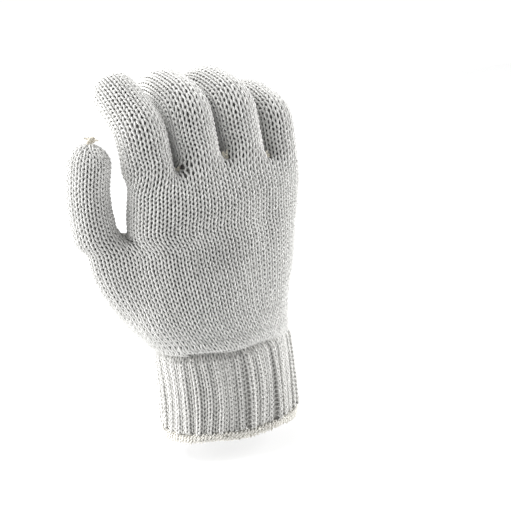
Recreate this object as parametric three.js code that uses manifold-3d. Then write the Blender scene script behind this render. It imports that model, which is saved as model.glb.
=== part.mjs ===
import * as THREE from "three";
import { mergeVertices } from "three/addons/utils/BufferGeometryUtils.js";
import Module from "manifold-3d";

// A seamless string-knit cotton work glove for the right hand, standing in the form that a hand gives it.
// +Z runs up the wrist to the fingers, the back of the hand faces -Y and the thumb is on -X. The origin is
// the middle of the mouth that the hand goes in by. Millimetres.

// Driving sizes
const WALL = 2.4;
const SEAM_GAP = 0.3;
const HEM_HEIGHT = 5;
const HEM_THICKNESS = 3.8;
const HEM_PROUD = 0.8;
const HEM_WAIST = 0.86;
const CUFF_LENGTH = 43.5;
const CUFF_WIDTH = 80;
const CUFF_DEPTH = 62;
const RIB_COUNT = 36;
const RIB_DEPTH = 0.9;
const PALM_LENGTH = 99.5;
const PALM_WIDTH = 105;
const PALM_DEPTH = 46;
const HAND_LEAN = 3.5;
const HAND_FULLNESS = 2.25;
const FOLD_RISE = 1.9;
const FOLD_MIDDLE = 247;
const FOLD_REACH = 62;
const FOLD_ELSEWHERE = 0.3;
const FINGER_LENGTH = 77;
const FINGER_GIRTH = 0.61 * PALM_DEPTH;
const FINGER_BURIED = 20;
const THUMB_GIRTH = 25.5;
const THUMB_WEB = 63;
const KNOT_WIDTH = 6;
const KNOT_LENGTH = 6;
const KNOT_FLATNESS = 0.67;

// Sections of the hand from the wrist up. `up` is a share of the palm's length. `palm` runs from 0, the cuff's
// oval, to 1, the palm's own, whose width and depth the next two columns scale. `fold` is a share of how far the
// soft roll over the cuff stands out, most of all round FOLD_MIDDLE, in degrees from +X, and less past FOLD_REACH.
// `across` and `toward` move the middle, as shares of the palm's width and depth.
const HAND_SECTIONS = [
  { up: 0.0, palm: 0.0, wide: 1.0, deep: 1.0, fold: 0.2, across: 0.0, toward: 0.0 },
  { up: 0.015, palm: 0.0, wide: 1.0, deep: 1.0, fold: 0.9, across: 0.0, toward: 0.0 },
  { up: 0.045, palm: 0.15, wide: 0.93, deep: 1.2, fold: 1.0, across: -0.01, toward: 0.0 },
  { up: 0.085, palm: 0.5, wide: 0.92, deep: 1.2, fold: 0.5, across: -0.042, toward: 0.0 },
  { up: 0.14, palm: 0.8, wide: 0.925, deep: 1.22, fold: 0.1, across: -0.062, toward: 0.02 },
  { up: 0.24, palm: 1.0, wide: 0.93, deep: 1.24, fold: 0.0, across: -0.05, toward: 0.05 },
  { up: 0.38, palm: 1.0, wide: 0.94, deep: 1.2, fold: 0.0, across: -0.02, toward: 0.06 },
  { up: 0.54, palm: 1.0, wide: 0.965, deep: 1.12, fold: 0.0, across: -0.015, toward: 0.04 },
  { up: 0.7, palm: 1.0, wide: 0.99, deep: 1.02, fold: 0.0, across: -0.01, toward: 0.02 },
  { up: 0.86, palm: 1.0, wide: 1.0, deep: 0.88, fold: 0.0, across: 0.0, toward: 0.0 },
  { up: 0.96, palm: 1.0, wide: 1.0, deep: 0.7, fold: 0.0, across: 0.005, toward: 0.0 },
  { up: 1.0, palm: 1.0, wide: 0.96, deep: 0.58, fold: 0.0, across: 0.005, toward: 0.0 },
];

// Sections of the rib cuff from the hem up: a share of its length, and of its width and depth
const CUFF_SECTIONS = [
  { up: 0, wide: 1.0 },
  { up: 0.3, wide: 0.985 },
  { up: 0.7, wide: 0.985 },
  { up: 1, wide: 1.0 },
];

// Fingers, from the thumb's side. `across` and `toward` place the root as shares of the palm's width and depth and
// `web` is how far its crotch lies below the palm's top, as a share of the palm's length. `length` and `girth` are
// shares of FINGER_LENGTH and FINGER_GIRTH. Angles are in degrees: `splay` leans it to the little finger's side, the
// next three bend it towards the palm at its joints, and `turn` swings that way round.
const FINGERS = [
  { name: "index", across: -0.362, toward: 0.03, web: 0.04, length: 0.83, girth: 1.0, splay: 1.5,
    knuckle: 13, middle: 30, end: 8, turn: -18 },
  { name: "middle", across: -0.095, toward: -0.03, web: 0.0, length: 1.0, girth: 0.965, splay: -1,
    knuckle: 17, middle: 56, end: 25, turn: 0 },
  { name: "ring", across: 0.168, toward: -0.02, web: 0.01, length: 0.955, girth: 0.945, splay: 2,
    knuckle: 17, middle: 54, end: 26, turn: -4 },
  { name: "little", across: 0.402, toward: 0.04, web: 0.08, length: 0.805, girth: 0.84, splay: 6,
    knuckle: 15, middle: 50, end: 26, turn: -8 },
];
// Where the joints lie, as shares of a finger's length above its crotch
const KNUCKLE_AT = -0.06;
const MIDDLE_AT = 0.4;
const END_AT = 0.72;
const JOINT_SPREAD = 0.3;

// Width and depth along a finger, as shares of its length and its girth
const STALL_GIRTH = [
  { along: -0.3, wide: 0.8, deep: 0.8 },
  { along: 0.0, wide: 0.96, deep: 1.06 },
  { along: 0.2, wide: 0.99, deep: 1.0 },
  { along: 0.42, wide: 1.01, deep: 1.02 },
  { along: 0.6, wide: 0.98, deep: 0.97 },
  { along: 0.8, wide: 0.93, deep: 0.91 },
  { along: 1.0, wide: 0.77, deep: 0.77 },
];

// The thumb's middle line, up from inside the hand's root. `across` and `toward` are shares of the palm's width
// and depth from its middle, `up` of the palm's length, and `girth` of the thumb's girth.
const THUMB_LINE = [
  { across: -0.25, toward: 0.16, up: 0.165, girth: 1.42 },
  { across: -0.37, toward: 0.22, up: 0.255, girth: 1.38 },
  { across: -0.485, toward: 0.26, up: 0.385, girth: 1.23 },
  { across: -0.58, toward: 0.29, up: 0.55, girth: 1.07 },
  { across: -0.645, toward: 0.3, up: 0.735, girth: 0.96 },
  { across: -0.665, toward: 0.3, up: 0.92, girth: 0.95 },
  { across: -0.655, toward: 0.27, up: 1.09, girth: 0.96 },
  { across: -0.64, toward: 0.25, up: 1.2, girth: 0.88 },
];

// A tip knot's rounds: a share of its length from its middle, and of its width
const KNOT_PROFILE = [
  { along: -0.5, wide: 1.0 },
  { along: 0.0, wide: 1.0 },
  { along: 0.35, wide: 0.78 },
  { along: 0.5, wide: 0.45 },
];

// Facets
const HAND_SIDES = 36;
const HAND_HOLLOW_SIDES = 28;
const LONG_STEP = 0.1;
const STALL_SIDES = 16;
const HOLLOW_SIDES = 12;
const STATION_STEP = 7;
const CAP_ANGLES = [0, 28, 52, 74];
const POINTS_A_RIB = 4;
const HEM_STITCHES = 46;
const HEM_SIDES = 6;
const KNOT_SIDES = 10;
const SAME_POINT = 1e-4;
const OVERSHOOT = 1;

const TURN = 2 * Math.PI;
const RADIANS = Math.PI / 180;
const wristHeight = HEM_HEIGHT + CUFF_LENGTH + 2 * SEAM_GAP;

// A smooth curve through one column of a table, read at a value of the table's first column
function column(table, key, name, at) {
  const last = table.length - 1;
  let row = 0;
  while (row < last - 1 && at > table[row + 1][key]) {
    row += 1;
  }
  const [before, from, to, after] = [row - 1, row, row + 1, row + 2].map((i) => {
    return table[Math.min(Math.max(i, 0), last)];
  });
  const span = to[key] - from[key];
  const t = Math.min(Math.max((at - from[key]) / span, 0), 1);
  const slope = (a, b) => ((b[name] - a[name]) / (b[key] - a[key])) * span;
  const start = slope(before, to);
  const end = slope(from, after);
  const rise = to[name] - from[name];
  return from[name] + t * start + t * t * (3 * rise - 2 * start - end) + t * t * t * (start + end - 2 * rise);
}

function smoothstep(at, from, to) {
  const t = Math.min(Math.max((at - from) / (to - from), 0), 1);
  return t * t * (3 - 2 * t);
}

// One round of points on an oval whose corners are a little fuller than an ellipse's
function oval(centre, side, front, halfWidth, halfDepth, sides, fullness = 2) {
  const power = 2 / fullness;
  return Array.from({ length: sides }, (_, i) => {
    const angle = (TURN * i) / sides;
    const c = Math.cos(angle);
    const s = Math.sin(angle);
    return centre
      .clone()
      .addScaledVector(side, halfWidth * Math.sign(c) * Math.abs(c) ** power)
      .addScaledVector(front, halfDepth * Math.sign(s) * Math.abs(s) ** power);
  });
}

// A closed solid through rounds of points, with a point at the middle of each end
function loft(rings) {
  const sides = rings[0].length;
  const points = rings.flat();
  const middle = (ring) => {
    return ring.reduce((sum, p) => sum.add(p), new THREE.Vector3()).divideScalar(sides);
  };
  points.push(middle(rings[0]), middle(rings.at(-1)));
  const foot = points.length - 2;
  const head = points.length - 1;
  const top = (rings.length - 1) * sides;
  const faces = [];
  for (let i = 0; i < sides; i += 1) {
    const next = (i + 1) % sides;
    faces.push(foot, next, i);
    faces.push(head, top + i, top + next);
    for (let row = 0; row < top; row += sides) {
      faces.push(row + i, row + next, row + sides + next);
      faces.push(row + i, row + sides + next, row + sides + i);
    }
  }
  const geometry = new THREE.BufferGeometry();
  geometry.setAttribute("position", new THREE.Float32BufferAttribute(points.flatMap((p) => p.toArray()), 3));
  geometry.setIndex(faces);
  return geometry;
}

const wasm = await Module();
wasm.setup();

function solid(geometry) {
  const bare = geometry.clone();
  bare.deleteAttribute("normal");
  bare.deleteAttribute("uv");
  const merged = mergeVertices(bare, SAME_POINT);
  const mesh = new wasm.Mesh({
    numProp: 3,
    vertProperties: new Float32Array(merged.attributes.position.array),
    triVerts: new Uint32Array(merged.index.array),
  });
  return new wasm.Manifold(mesh);
}

function geometryOf(body) {
  const mesh = body.getMesh();
  const geometry = new THREE.BufferGeometry();
  geometry.setAttribute("position", new THREE.Float32BufferAttribute(mesh.vertProperties, 3));
  geometry.setIndex(Array.from(mesh.triVerts));
  return geometry;
}

const X = new THREE.Vector3(1, 0, 0);
const Y = new THREE.Vector3(0, 1, 0);

// The point at a share of the palm's width, depth and length, on the leaning hand
function handPoint(across, toward, up) {
  const height = up * PALM_LENGTH;
  return new THREE.Vector3(
    across * PALM_WIDTH + height * Math.tan(HAND_LEAN * RADIANS),
    toward * PALM_DEPTH,
    wristHeight + height,
  );
}

// How much of the fold's roll is at an angle round the hand, in degrees from +X
function foldAt(degrees) {
  const away = Math.abs(((degrees - FOLD_MIDDLE + 540) % 360) - 180);
  return THREE.MathUtils.lerp(1, FOLD_ELSEWHERE, smoothstep(away, FOLD_REACH / 2, FOLD_REACH));
}

// The hand's body, drawn in by `inset` on every side
function handBody(inset, sides) {
  const steps = HAND_SECTIONS.flatMap((row, i) => {
    const next = HAND_SECTIONS[i + 1];
    return next && next.up - row.up > LONG_STEP ? [row.up, (row.up + next.up) / 2] : [row.up];
  });
  const rings = steps.map((up) => {
    const at = (name) => column(HAND_SECTIONS, "up", name, up);
    const roll = at("fold") * FOLD_RISE;
    const halfWidth = THREE.MathUtils.lerp(CUFF_WIDTH, PALM_WIDTH * at("wide"), at("palm")) / 2;
    const halfDepth = THREE.MathUtils.lerp(CUFF_DEPTH, PALM_DEPTH * at("deep"), at("palm")) / 2;
    const centre = handPoint(at("across"), at("toward"), up);
    const fullness = THREE.MathUtils.lerp(2, HAND_FULLNESS, at("palm"));
    const plain = oval(centre, X, Y, halfWidth - inset, halfDepth - inset, sides, fullness);
    const rolled = oval(centre, X, Y, halfWidth + roll - inset, halfDepth + roll - inset, sides, fullness);
    return plain.map((p, i) => p.lerp(rolled[i], foldAt((360 * i) / sides)));
  });
  const drop = new THREE.Vector3(0, 0, inset > 0 ? inset : 0);
  rings.at(-1).forEach((p) => p.sub(drop));
  if (inset > 0) {
    rings[0].forEach((p) => p.sub(drop));
  }
  return loft(rings);
}

// Places along a stall: its middle, its side and front directions and its half sizes
function fingerStations(finger) {
  const lean = (finger.splay + HAND_LEAN) * RADIANS;
  const rise = new THREE.Vector3(Math.sin(lean), 0, Math.cos(lean));
  const bend = new THREE.Vector3(Math.sin(finger.turn * RADIANS), Math.cos(finger.turn * RADIANS), 0);
  bend.addScaledVector(rise, -bend.dot(rise)).normalize();
  const side = new THREE.Vector3().crossVectors(bend, rise);
  const joints = [
    { at: KNUCKLE_AT, angle: finger.knuckle },
    { at: MIDDLE_AT, angle: finger.middle },
    { at: END_AT, angle: finger.end },
  ];
  const length = FINGER_LENGTH * finger.length;
  const half = (FINGER_GIRTH * finger.girth) / 2;
  const point = handPoint(finger.across, finger.toward, 1 - finger.web);
  point.addScaledVector(rise, -FINGER_BURIED);
  const stations = [];
  for (let along = -FINGER_BURIED; along <= length; along += 1) {
    const share = along / length;
    const angle = joints.reduce((sum, joint) => {
      const part = smoothstep(share, joint.at - JOINT_SPREAD / 2, joint.at + JOINT_SPREAD / 2);
      return sum + joint.angle * RADIANS * part;
    }, 0);
    const tangent = rise.clone().multiplyScalar(Math.cos(angle)).addScaledVector(bend, Math.sin(angle));
    stations.push({
      along,
      point: point.clone(),
      side,
      front: new THREE.Vector3().crossVectors(tangent, side),
      tangent,
      halfWidth: half * column(STALL_GIRTH, "along", "wide", share),
      halfDepth: half * column(STALL_GIRTH, "along", "deep", share),
    });
    point.add(tangent);
  }
  return stations;
}

function thumbStations() {
  const line = new THREE.CatmullRomCurve3(THUMB_LINE.map((row) => handPoint(row.across, row.toward, row.up)));
  const length = line.getLength();
  const steps = Math.round(length);
  return Array.from({ length: steps + 1 }, (_, i) => {
    const u = i / steps;
    const tangent = line.getTangentAt(u);
    const front = Y.clone().addScaledVector(tangent, -tangent.y).normalize();
    const row = line.getUtoTmapping(u) * (THUMB_LINE.length - 1);
    const low = THUMB_LINE[Math.floor(row)];
    const high = THUMB_LINE[Math.ceil(row)];
    const half = (THUMB_GIRTH / 2) * THREE.MathUtils.lerp(low.girth, high.girth, row % 1);
    return {
      along: u * length,
      point: line.getPointAt(u),
      side: new THREE.Vector3().crossVectors(front, tangent),
      front,
      tangent,
      halfWidth: half,
      halfDepth: half,
    };
  });
}

// The station at any length along a stall
function stationAt(stations, along) {
  const first = stations[0].along;
  const step = stations[1].along - first;
  const place = Math.min(Math.max((along - first) / step, 0), stations.length - 1);
  const low = stations[Math.floor(place)];
  const high = stations[Math.ceil(place)];
  const mix = (name) => low[name].clone().lerp(high[name], place % 1);
  return {
    point: mix("point"),
    side: mix("side"),
    front: mix("front"),
    tangent: mix("tangent"),
    halfWidth: THREE.MathUtils.lerp(low.halfWidth, high.halfWidth, place % 1),
    halfDepth: THREE.MathUtils.lerp(low.halfDepth, high.halfDepth, place % 1),
  };
}

// A stall from one length along its stations to another, drawn in by `inset`. Its tip is round where it runs
// to the end.
function stall(stations, inset, from, sides, to = Infinity) {
  const end = stations.at(-1).along;
  const cap = stationAt(stations, end).halfWidth;
  const stop = Math.min(to, end - cap);
  const count = Math.ceil((stop - from) / STATION_STEP);
  const ring = (along, like, share) => {
    const s = stationAt(stations, along);
    const { halfWidth, halfDepth } = stationAt(stations, like);
    return oval(s.point, s.side, s.front, (halfWidth - inset) * share, (halfDepth - inset) * share, sides);
  };
  const rings = [];
  for (let i = 0; i < count; i += 1) {
    const along = THREE.MathUtils.lerp(from, stop, i / count);
    rings.push(ring(along, along, 1));
  }
  if (to < end) {
    rings.push(ring(stop, stop, 1));
    return loft(rings);
  }
  for (const degrees of CAP_ANGLES) {
    const angle = degrees * RADIANS;
    rings.push(ring(stop + (cap - inset) * Math.sin(angle), stop, Math.cos(angle)));
  }
  return loft(rings);
}

// The whole hand's outside and inside
const fingers = FINGERS.map((row) => ({ ...row, stations: fingerStations(row), root: 0 }));
const thumbLine = thumbStations();
const belowWeb = thumbLine.filter((s) => s.point.z <= wristHeight + THUMB_WEB);
const thumbRoot = (belowWeb.at(-1) ?? thumbLine[0]).along;
const thumb = { name: "thumb", stations: thumbLine, root: thumbRoot };
const stalls = [...fingers, thumb];

const half = SEAM_GAP / 2;
const buried = (item) => item.stations[0].along;
const hollows = stalls.map((item) => solid(stall(item.stations, WALL, buried(item), HOLLOW_SIDES)));
const handHollow = solid(handBody(WALL, HAND_HOLLOW_SIDES));
const inside = hollows.reduce((sum, hollow) => sum.add(hollow), handHollow);
const cleared = stalls.map((item) => solid(stall(item.stations, -SEAM_GAP, item.root - half, STALL_SIDES)));
const roots = stalls.map((item) => {
  return solid(stall(item.stations, 0, buried(item), STALL_SIDES, item.root - half));
});
const handOutside = roots.reduce((sum, root) => sum.add(root), solid(handBody(0, HAND_SIDES)));
const palm = cleared.reduce((rest, room) => rest.subtract(room), handOutside.subtract(inside));

// Each stall, hollow and open to the palm, clear of the stalls that lie over it
const skins = stalls.map((item, i) => {
  const skin = solid(stall(item.stations, 0, item.root + half, STALL_SIDES)).subtract(inside);
  return cleared.slice(0, i).reduce((rest, room) => rest.subtract(room), skin);
});

// The bound-off end of yarn on a stall's tip
function knot(item, i) {
  const end = item.stations.at(-1);
  const rings = KNOT_PROFILE.map((row) => {
    const centre = end.point.clone().addScaledVector(end.tangent, row.along * KNOT_LENGTH);
    const half = (KNOT_WIDTH / 2) * row.wide;
    return oval(centre, end.side, end.front, half, half * KNOT_FLATNESS, KNOT_SIDES);
  });
  return solid(loft(rings)).subtract(cleared[i]);
}

// The elastic cuff, whose ribs stand side by side right round it
function cuff() {
  const sides = RIB_COUNT * POINTS_A_RIB;
  const low = HEM_HEIGHT + SEAM_GAP;
  const outside = CUFF_SECTIONS.map((row) => {
    const centre = new THREE.Vector3(0, 0, low + row.up * CUFF_LENGTH);
    const ring = oval(centre, X, Y, (CUFF_WIDTH / 2) * row.wide, (CUFF_DEPTH / 2) * row.wide, sides);
    return ring.map((p, i) => {
      const out = p.clone().sub(centre).normalize();
      return p.addScaledVector(out, -RIB_DEPTH * (0.5 - 0.5 * Math.cos((TURN * i) / POINTS_A_RIB)));
    });
  });
  const inner = CUFF_SECTIONS.map((row, i) => {
    const over = i === 0 ? -OVERSHOOT : i === CUFF_SECTIONS.length - 1 ? OVERSHOOT : 0;
    const centre = new THREE.Vector3(0, 0, low + row.up * CUFF_LENGTH + over);
    const halfWidth = (CUFF_WIDTH / 2) * row.wide - WALL;
    const halfDepth = (CUFF_DEPTH / 2) * row.wide - WALL;
    return oval(centre, X, Y, halfWidth, halfDepth, RIB_COUNT);
  });
  return solid(loft(outside)).subtract(solid(loft(inner)));
}

// The overlocked edge, a soft ring with a low swelling for each stitch
function hem() {
  const sides = HEM_STITCHES * 2;
  const points = [];
  const faces = [];
  const tallest = Math.sin(TURN / 4);
  for (let i = 0; i < sides; i += 1) {
    const angle = (TURN * i) / sides;
    const lump = i % 2 === 0 ? 1 : HEM_WAIST;
    for (let j = 0; j < HEM_SIDES; j += 1) {
      const turn = (TURN * (j + 0.5)) / HEM_SIDES;
      const out = (HEM_THICKNESS / 2) * (Math.cos(turn) * lump - 1) + HEM_PROUD;
      points.push(
        Math.cos(angle) * (CUFF_WIDTH / 2 + out),
        Math.sin(angle) * (CUFF_DEPTH / 2 + out),
        (HEM_HEIGHT / 2) * (1 + Math.sin(turn) / tallest),
      );
      const next = (i + 1) % sides;
      const above = (j + 1) % HEM_SIDES;
      faces.push(i * HEM_SIDES + j, next * HEM_SIDES + j, next * HEM_SIDES + above);
      faces.push(i * HEM_SIDES + j, next * HEM_SIDES + above, i * HEM_SIDES + above);
    }
  }
  const geometry = new THREE.BufferGeometry();
  geometry.setAttribute("position", new THREE.Float32BufferAttribute(points, 3));
  geometry.setIndex(faces);
  return geometry;
}

const cotton = { color: 0xe9e8e4, roughness: 0.95, metalness: 0 };
const cream = { color: 0xd9c9a6, roughness: 0.9, metalness: 0 };

function piece(name, geometry, look) {
  geometry.computeVertexNormals();
  const mesh = new THREE.Mesh(geometry, new THREE.MeshStandardMaterial(look));
  mesh.name = name;
  return mesh;
}

const glove = new THREE.Group();
const hand = new THREE.Group();
hand.add(piece("palm", geometryOf(palm), cotton));
stalls.forEach((item, i) => {
  const name = item === thumb ? "thumb" : `${item.name}_finger`;
  hand.add(piece(name, geometryOf(skins[i]), cotton));
  hand.add(piece(`${item.name}_knot`, geometryOf(knot(item, i)), cream));
});
const wrist = new THREE.Group();
wrist.add(piece("rib_cuff", geometryOf(cuff()), cotton));
wrist.add(piece("overlock_hem", hem(), cream));
glove.add(hand, wrist);

export default glove;
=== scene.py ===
"""The looks of the cotton work glove: every loop of its string-knit yarn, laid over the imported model.

The knit follows the real one. A course is one round of yarn and a wale is one column of loops. The cuff and
the lower hand are one tube, which parts at the thumb's web into the thumb and the upper hand, and the upper
hand parts at the crotches into the four fingers. Sizes are in millimetres until a mesh is made, in metres.
"""

import logging
import math
from dataclasses import dataclass, field
from enum import Enum

import bpy
import numpy as np
from mathutils import Matrix, Vector


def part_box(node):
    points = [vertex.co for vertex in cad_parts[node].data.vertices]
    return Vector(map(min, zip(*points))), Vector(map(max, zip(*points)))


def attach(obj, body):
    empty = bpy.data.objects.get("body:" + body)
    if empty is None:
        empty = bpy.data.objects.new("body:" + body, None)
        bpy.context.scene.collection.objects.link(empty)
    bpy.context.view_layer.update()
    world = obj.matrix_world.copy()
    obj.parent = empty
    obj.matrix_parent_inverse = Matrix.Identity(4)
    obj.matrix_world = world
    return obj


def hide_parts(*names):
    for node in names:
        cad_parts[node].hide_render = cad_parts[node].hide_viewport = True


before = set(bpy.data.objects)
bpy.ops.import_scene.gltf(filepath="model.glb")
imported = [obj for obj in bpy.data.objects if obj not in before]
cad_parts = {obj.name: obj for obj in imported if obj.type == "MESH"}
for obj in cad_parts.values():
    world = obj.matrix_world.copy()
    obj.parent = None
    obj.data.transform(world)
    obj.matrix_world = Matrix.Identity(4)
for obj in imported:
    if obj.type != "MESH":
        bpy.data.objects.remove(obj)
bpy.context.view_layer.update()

log = logging.getLogger("glove")

METRES = 0.001
BODY = "root"
UV_NAME = "yarn"
WHITE = (1, 1, 1, 1)
OUTLINE_POINTS = 720
NEARLY_NONE = 1e-9
TURN = 2 * math.pi
UP = np.array([0.0, 0.0, 1.0])

Array = np.ndarray


class Slot(Enum):
    """The record's material slots."""

    KNIT = "knit"
    RIB = "rib"
    OVERLOCK = "overlock"
    TIP_YARN = "tip_yarn"


# Sections of the hand from the wrist up, as shares of the palm's sizes
SECTION_COLUMNS = ("up", "palm", "wide", "deep", "across", "toward")
HAND_SECTIONS = (
    (0.0, 0.0, 1.0, 1.0, 0.0, 0.0),
    (0.015, 0.0, 1.0, 1.0, 0.0, 0.0),
    (0.045, 0.15, 0.93, 1.2, -0.01, 0.0),
    (0.085, 0.5, 0.92, 1.2, -0.042, 0.0),
    (0.14, 0.8, 0.925, 1.22, -0.062, 0.02),
    (0.24, 1.0, 0.93, 1.24, -0.05, 0.05),
    (0.38, 1.0, 0.94, 1.2, -0.02, 0.06),
    (0.54, 1.0, 0.965, 1.12, -0.015, 0.04),
    (0.7, 1.0, 0.99, 1.02, -0.01, 0.02),
    (0.86, 1.0, 1.0, 0.88, 0.0, 0.0),
    (0.96, 1.0, 1.0, 0.7, 0.005, 0.0),
    (1.0, 1.0, 0.96, 0.58, 0.005, 0.0),
)

# Width and depth along a finger, as shares of its length and its girth
GIRTH_COLUMNS = ("along", "wide", "deep")
STALL_GIRTH = (
    (-0.3, 0.8, 0.8),
    (0.0, 0.96, 1.06),
    (0.2, 0.99, 1.0),
    (0.42, 1.01, 1.02),
    (0.6, 0.98, 0.97),
    (0.8, 0.93, 0.91),
    (1.0, 0.77, 0.77),
)

# The thumb's middle line and its girth, as shares of the palm's sizes and of the thumb's girth
THUMB_COLUMNS = ("across", "toward", "up", "girth")
THUMB_LINE = (
    (-0.25, 0.16, 0.165, 1.42),
    (-0.37, 0.22, 0.255, 1.38),
    (-0.485, 0.26, 0.385, 1.23),
    (-0.58, 0.29, 0.55, 1.07),
    (-0.645, 0.3, 0.735, 0.96),
    (-0.665, 0.3, 0.92, 0.95),
    (-0.655, 0.27, 1.09, 0.96),
    (-0.64, 0.25, 1.2, 0.88),
)

# Soft dents in the back of the empty glove, and swells where the depth is negative, in millimetres
DENT_COLUMNS = ("across", "up", "wide", "tall", "depth")
DENTS = (
    (-14, 104, 18, 13, 4.2),
    (-10, 128, 28, 8, -1.7),
    (18, 84, 14, 20, 2.2),
    (-34, 76, 10, 16, 2.0),
    (-38, 150, 6, 12, 2.4),
    (24, 116, 8, 15, 1.8),
    (2, 62, 34, 6, -1.4),
)

# How far round to the back the skin has to face for a dent's full depth
DENTS_FULL = 0.6

# The last course of one panel goes on in the first course of another: panel, wale, how many, panel, wale
JOINS = (
    ("cuff", 0, 72, "hand", 0),
    ("hand", 0, 56, "knuckles", 1),
    ("hand", 56, 7, "thumb", 13),
    ("hand", 63, 9, "thumb", 0),
    ("knuckles", 0, 9, "index", 0),
    ("knuckles", 52, 8, "index", 12),
    ("knuckles", 9, 7, "middle", 2),
    ("knuckles", 45, 7, "middle", 12),
    ("knuckles", 16, 7, "ring", 2),
    ("knuckles", 38, 7, "ring", 12),
    ("knuckles", 23, 15, "little", 2),
)

# The first courses of two panels meet at a crotch: panel, wale, how many, panel, wale, the last counted down
CROTCHES = (
    ("thumb", 9, 4, "knuckles", 0),
    ("index", 9, 3, "middle", 1),
    ("middle", 9, 3, "ring", 1),
    ("ring", 9, 3, "little", 1),
)

# How many courses and wales each panel has, and which wale lies on the little finger's side
CUFF_COURSES = 18
HAND_COURSES = 24
KNUCKLE_COURSES = 14
STALL_COURSES = {"index": 27, "middle": 31, "ring": 29, "little": 25, "thumb": 23}
STALL_WALES = {"index": 20, "middle": 20, "ring": 20, "little": 18, "thumb": 20}
HAND_WALES = 72
KNUCKLE_WALES = 60
HAND_SIDE_WALE = 29
KNUCKLE_SIDE_WALE = 30

# The courses kept past each end of a panel, and how far before the last one its surface can be read
EDGE_COURSES = 2
LAST_ROWS = 2.001

# How deep the middle of the cloth lies below the glove's outer form, and the hole that a tip's knot closes
CLOTH_DEPTH = 1.25
TIP_OPENING = 1.6


def smoothstep(at: Array, low: float, high: float) -> Array:
    """A smooth rise from 0 at low to 1 at high.

    Args:
        at: Where to read it.
        low: Where the rise starts.
        high: Where it ends.

    Returns:
        The rise at each place.
    """
    t = np.clip((np.asarray(at, float) - low) / (high - low), 0, 1)
    return t * t * (3 - 2 * t)


def dent_at(point: Array, normal: Array) -> Array:
    """How deep the soft dents go at points of the glove's skin.

    Args:
        point: The points.
        normal: The outward directions there.

    Returns:
        The depth at each point.
    """
    total = np.zeros(point.shape[:-1])
    for row in DENTS:
        dent = dict(zip(DENT_COLUMNS, row))
        across = (point[..., 0] - dent["across"]) / dent["wide"]
        up = (point[..., 2] - dent["up"]) / dent["tall"]
        total = total + dent["depth"] * np.exp(-(across**2) - up**2)
    return total * smoothstep(-normal[..., 1], 0, DENTS_FULL)


def read_table(rows: tuple, columns: tuple, at: float) -> dict:
    """Reads a table at a value of its first column, along smooth curves through its rows.

    Args:
        rows: The table.
        columns: The names of its columns.
        at: The value of the first column.

    Returns:
        The value of every column by name.
    """
    table = np.asarray(rows, float)
    keys = table[:, 0]
    i = int(np.clip(np.searchsorted(keys, at) - 1, 0, len(keys) - 2))
    before, after = max(i - 1, 0), min(i + 2, len(keys) - 1)
    span = keys[i + 1] - keys[i]
    t = float(np.clip((at - keys[i]) / span, 0, 1))
    start = (table[i + 1] - table[before]) / (keys[i + 1] - keys[before]) * span
    end = (table[after] - table[i]) / (keys[after] - keys[i]) * span
    rise = table[i + 1] - table[i]
    bent = t * t * (3 * rise - 2 * start - end) + t**3 * (start + end - 2 * rise)
    return dict(zip(columns, table[i] + t * start + bent))


def unit(vectors: Array) -> Array:
    """Vectors scaled to length 1."""
    return vectors / np.maximum(np.linalg.norm(vectors, axis=-1, keepdims=True), NEARLY_NONE)


def turns_of(count: int) -> Array:
    """The angles of even steps round a ring."""
    return TURN * np.arange(count) / count


def evenly_round(outline: Array, places: Array) -> Array:
    """Points at even shares of the way round a closed outline.

    Args:
        outline: The outline's points.
        places: The shares of its length, from its first point.

    Returns:
        One point for each place.
    """
    closed = np.vstack([outline, outline[:1]])
    steps = np.linalg.norm(np.diff(closed, axis=0), axis=1)
    length = np.concatenate([[0], np.cumsum(steps)])
    where = (np.asarray(places) % 1) * length[-1]
    return np.stack([np.interp(where, length, closed[:, axis]) for axis in range(closed.shape[1])], axis=1)


def reach_of(outline: Array, ray: Array) -> Array:
    """How far out a closed outline reaches along each ray from the origin, 0 where it doesn't.

    Args:
        outline: The outline's points, of which the first two numbers count.
        ray: The rays' directions, of length 1.

    Returns:
        The distance along each ray to the outline's farthest crossing.
    """
    start = outline[None, :, :2]
    step = np.roll(outline, -1, axis=0)[None, :, :2] - start
    way = ray[:, None, :]
    cross = way[..., 0] * step[..., 1] - way[..., 1] * step[..., 0]
    cross = np.where(np.abs(cross) < NEARLY_NONE, NEARLY_NONE, cross)
    along = (start[..., 0] * step[..., 1] - start[..., 1] * step[..., 0]) / cross
    share = (start[..., 0] * way[..., 1] - start[..., 1] * way[..., 0]) / cross
    hit = (share >= 0) & (share <= 1) & (along > 0)
    return np.where(hit, along, 0).max(axis=1)


@dataclass(frozen=True)
class Finger:
    """A finger's root, size and bends, in shares of the named sizes and degrees."""

    name: str
    across: float
    toward: float
    web: float
    length: float
    girth: float
    splay: float
    bends: tuple
    turn: float


FINGERS = (
    Finger("index", -0.362, 0.03, 0.04, 0.83, 1.0, 1.5, (13, 30, 8), -18),
    Finger("middle", -0.095, -0.03, 0.0, 1.0, 0.965, -1, (17, 56, 25), 0),
    Finger("ring", 0.168, -0.02, 0.01, 0.955, 0.945, 2, (17, 54, 26), -4),
    Finger("little", 0.402, 0.04, 0.08, 0.805, 0.84, 6, (15, 50, 26), -8),
)


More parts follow.
